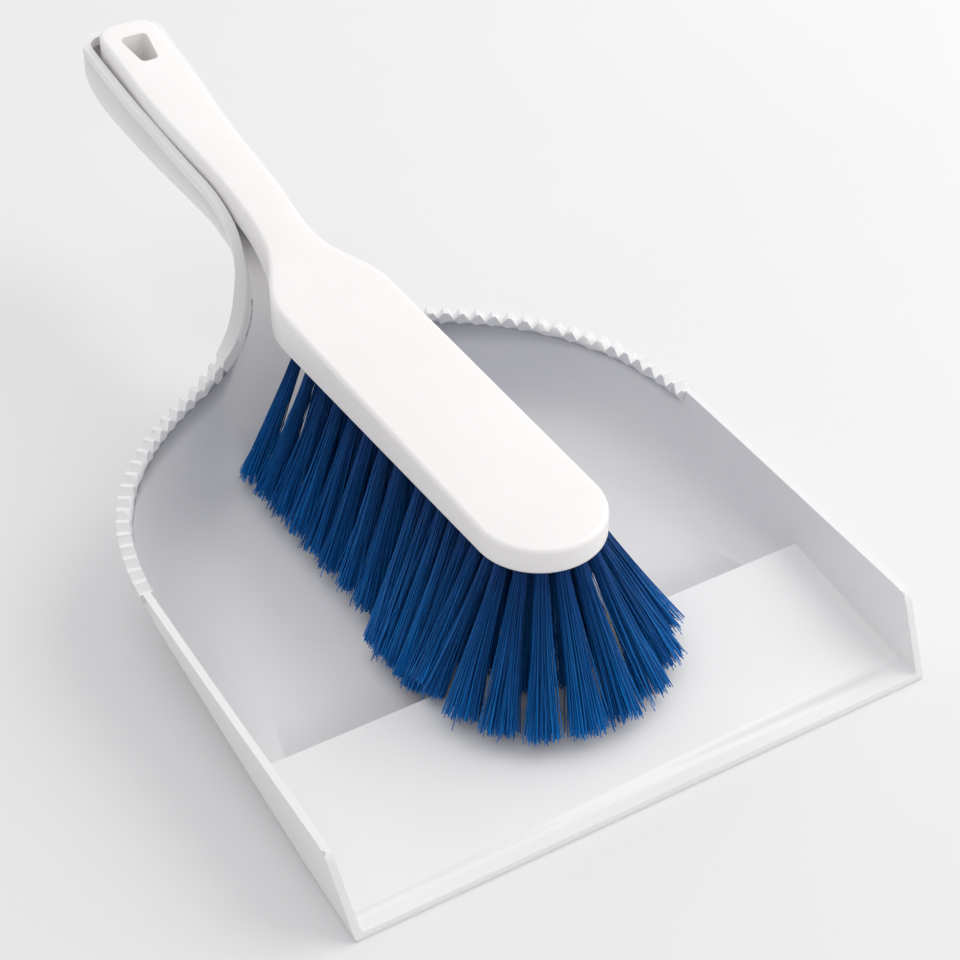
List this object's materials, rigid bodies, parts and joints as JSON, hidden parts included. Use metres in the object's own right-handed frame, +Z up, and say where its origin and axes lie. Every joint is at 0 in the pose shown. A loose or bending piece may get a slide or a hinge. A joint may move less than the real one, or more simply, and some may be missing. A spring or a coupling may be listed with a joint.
{
  "type": "dust pan and brush set",
  "caption": "White moulded dust pan with a comb rim and trough handle, and a white hand brush with flared blue bristles nested in it.",
  "frame": {"origin": "centre of the bounding box on the surface that the pan rests on", "axes": "+Y from the lip towards the end of the handles, +X across the pan, +Z up"},
  "size_m": [0.225, 0.391, 0.112],
  "materials": {
    "pan_plastic": "satin moulded polypropylene",
    "brush_plastic": "smooth semi-gloss moulded polypropylene",
    "bristle": "extruded polyester filament",
    "staple_steel": "bright drawn flat wire"
  },
  "bodies": {
    "pan": {"dustpan": "pan_plastic"},
    "brush": {"brush_back": "brush_plastic", "staples_front_left": "staple_steel", "staples_front_right": "staple_steel", "staples_inner_front_centre": "staple_steel", "staples_inner_front_left": "staple_steel", "staples_inner_front_right": "staple_steel", "staples_inner_nose": "staple_steel", "staples_inner_rear_centre": "staple_steel", "staples_inner_rear_left": "staple_steel", "staples_inner_rear_right": "staple_steel", "staples_nose": "staple_steel", "staples_rear_left": "staple_steel", "staples_rear_right": "staple_steel", "tuft_front_left_1": "bristle", "tuft_front_left_2": "bristle", "tuft_front_left_3": "bristle", "tuft_front_left_4": "bristle", "tuft_front_left_5": "bristle", "tuft_front_left_6": "bristle", "tuft_front_left_7": "bristle", "tuft_front_right_1": "bristle", "tuft_front_right_2": "bristle", "tuft_front_right_3": "bristle", "tuft_front_right_4": "bristle", "tuft_front_right_5": "bristle", "tuft_front_right_6": "bristle", "tuft_front_right_7": "bristle", "tuft_nose_1": "bristle", "tuft_nose_2": "bristle", "tuft_nose_3": "bristle", "tuft_nose_4": "bristle", "tuft_nose_5": "bristle", "tuft_nose_6": "bristle", "tuft_nose_7": "bristle", "tuft_nose_8": "bristle", "tuft_rear_left_1": "bristle", "tuft_rear_left_2": "bristle", "tuft_rear_left_3": "bristle", "tuft_rear_left_4": "bristle", "tuft_rear_left_5": "bristle", "tuft_rear_left_6": "bristle", "tuft_rear_left_7": "bristle", "tuft_rear_left_8": "bristle", "tuft_rear_right_1": "bristle", "tuft_rear_right_2": "bristle", "tuft_rear_right_3": "bristle", "tuft_rear_right_4": "bristle", "tuft_rear_right_5": "bristle", "tuft_rear_right_6": "bristle", "tuft_rear_right_7": "bristle", "tuft_rear_right_8": "bristle", "tufts_inner_front_centre": "bristle", "tufts_inner_front_left": "bristle", "tufts_inner_front_right": "bristle", "tufts_inner_nose": "bristle", "tufts_inner_rear_centre": "bristle", "tufts_inner_rear_left": "bristle", "tufts_inner_rear_right": "bristle"}
  },
  "joints": [
    {"name": "brush_lift", "type": "slide", "parent": "pan", "child": "brush", "axis": [0, 0, 1], "range_m": [0, 0.15]}
  ]
}
